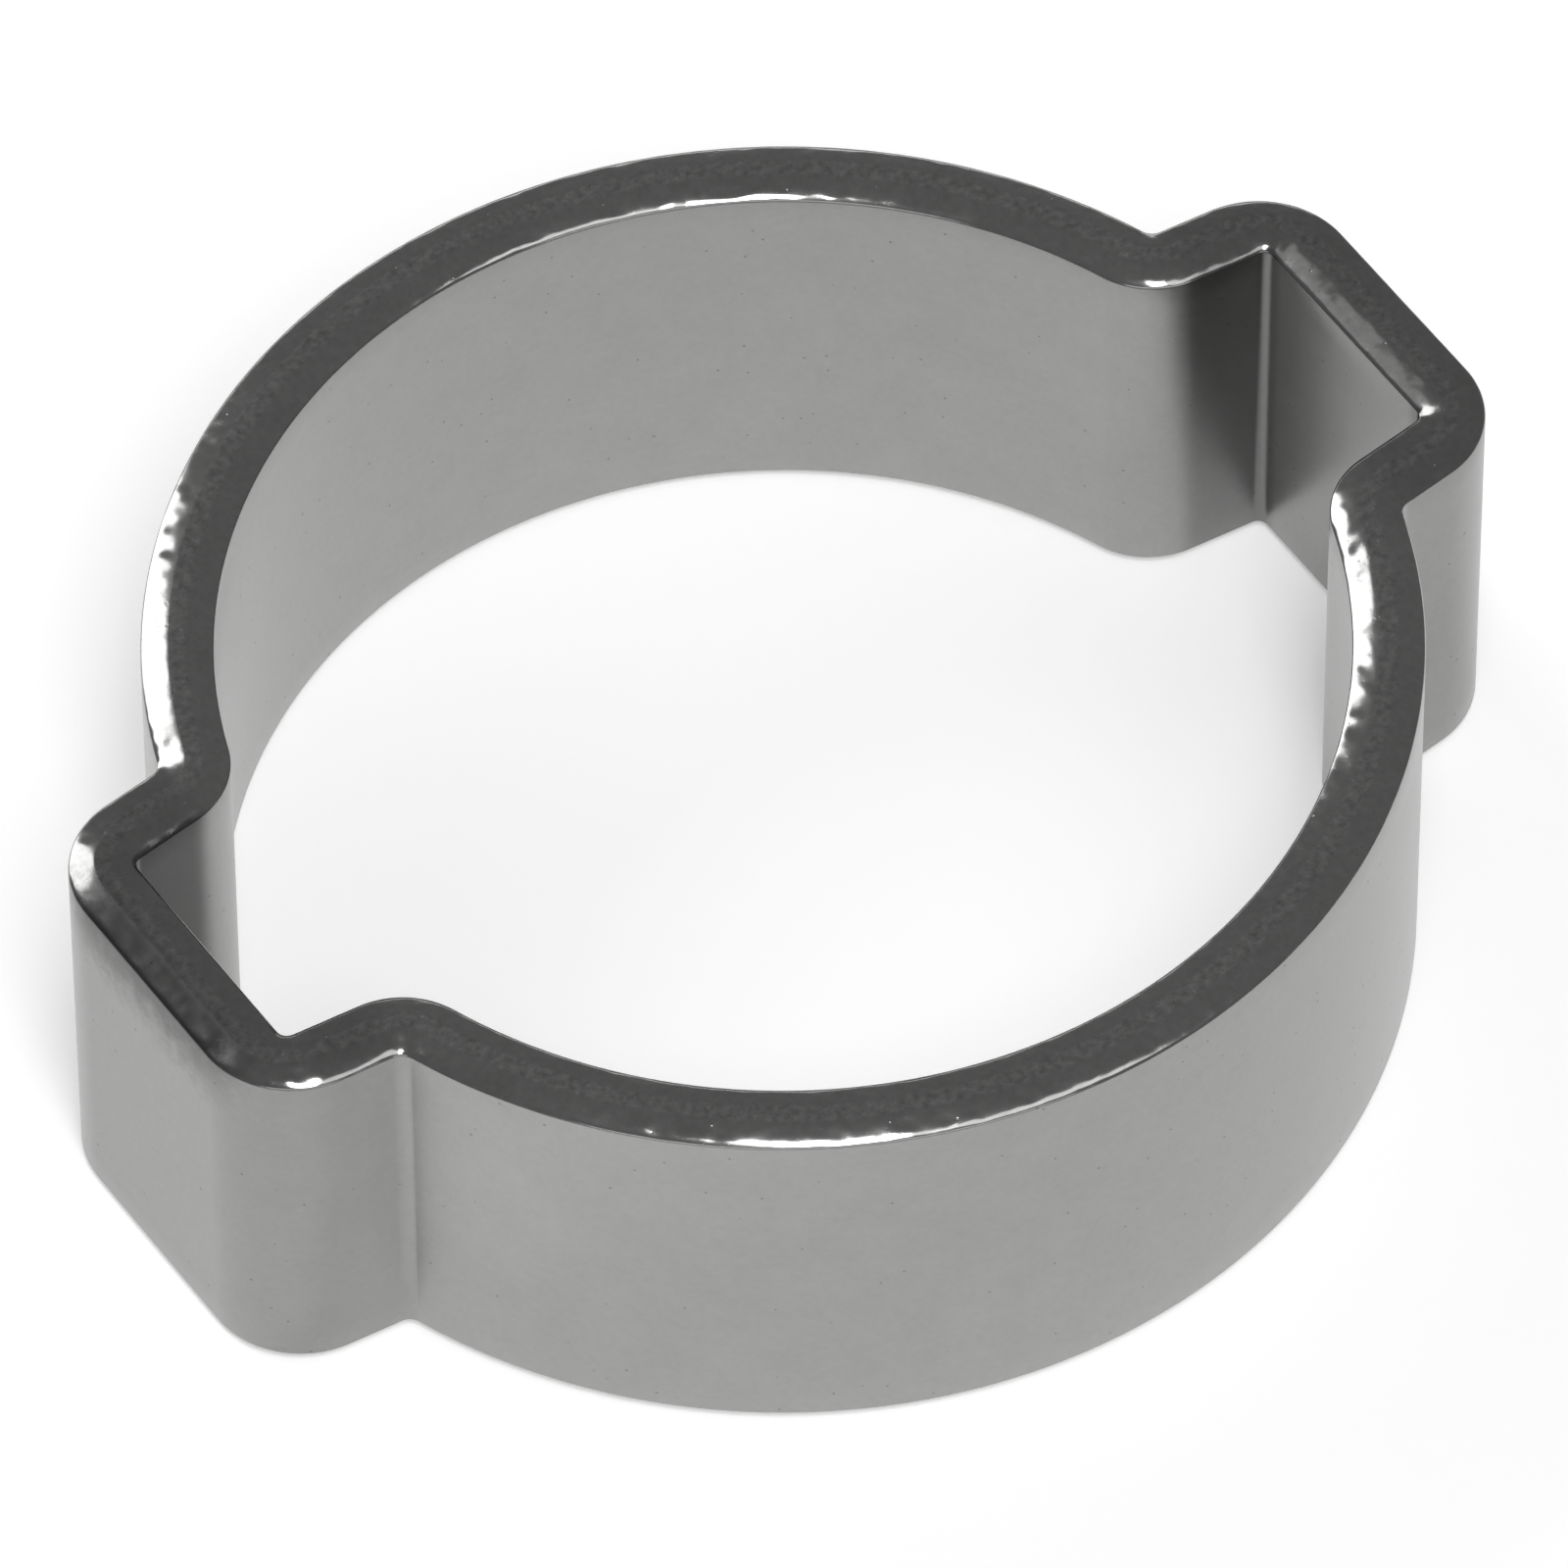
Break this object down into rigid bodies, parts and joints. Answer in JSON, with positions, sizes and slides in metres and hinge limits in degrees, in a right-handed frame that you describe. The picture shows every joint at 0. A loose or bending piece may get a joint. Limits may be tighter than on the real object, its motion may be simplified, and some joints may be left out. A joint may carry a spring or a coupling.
{
  "type": "two-ear hose clamp",
  "caption": "Closed steel band with opposite hollow ears, pinched shut with pliers to tighten it on a hose.",
  "frame": {"origin": "on the bore's axis, half way along the band's width", "axes": "+Z along the bore, +X through the middle of one ear, so the other ear is at -X"},
  "size_m": [0.027, 0.0226, 0.008],
  "materials": {
    "zinc_plated_steel": "satin zinc plating over pressed steel strip, with sheared and tumbled rims"
  },
  "bodies": {
    "root": {"clamp_band": "zinc_plated_steel"}
  },
  "joints": []
}
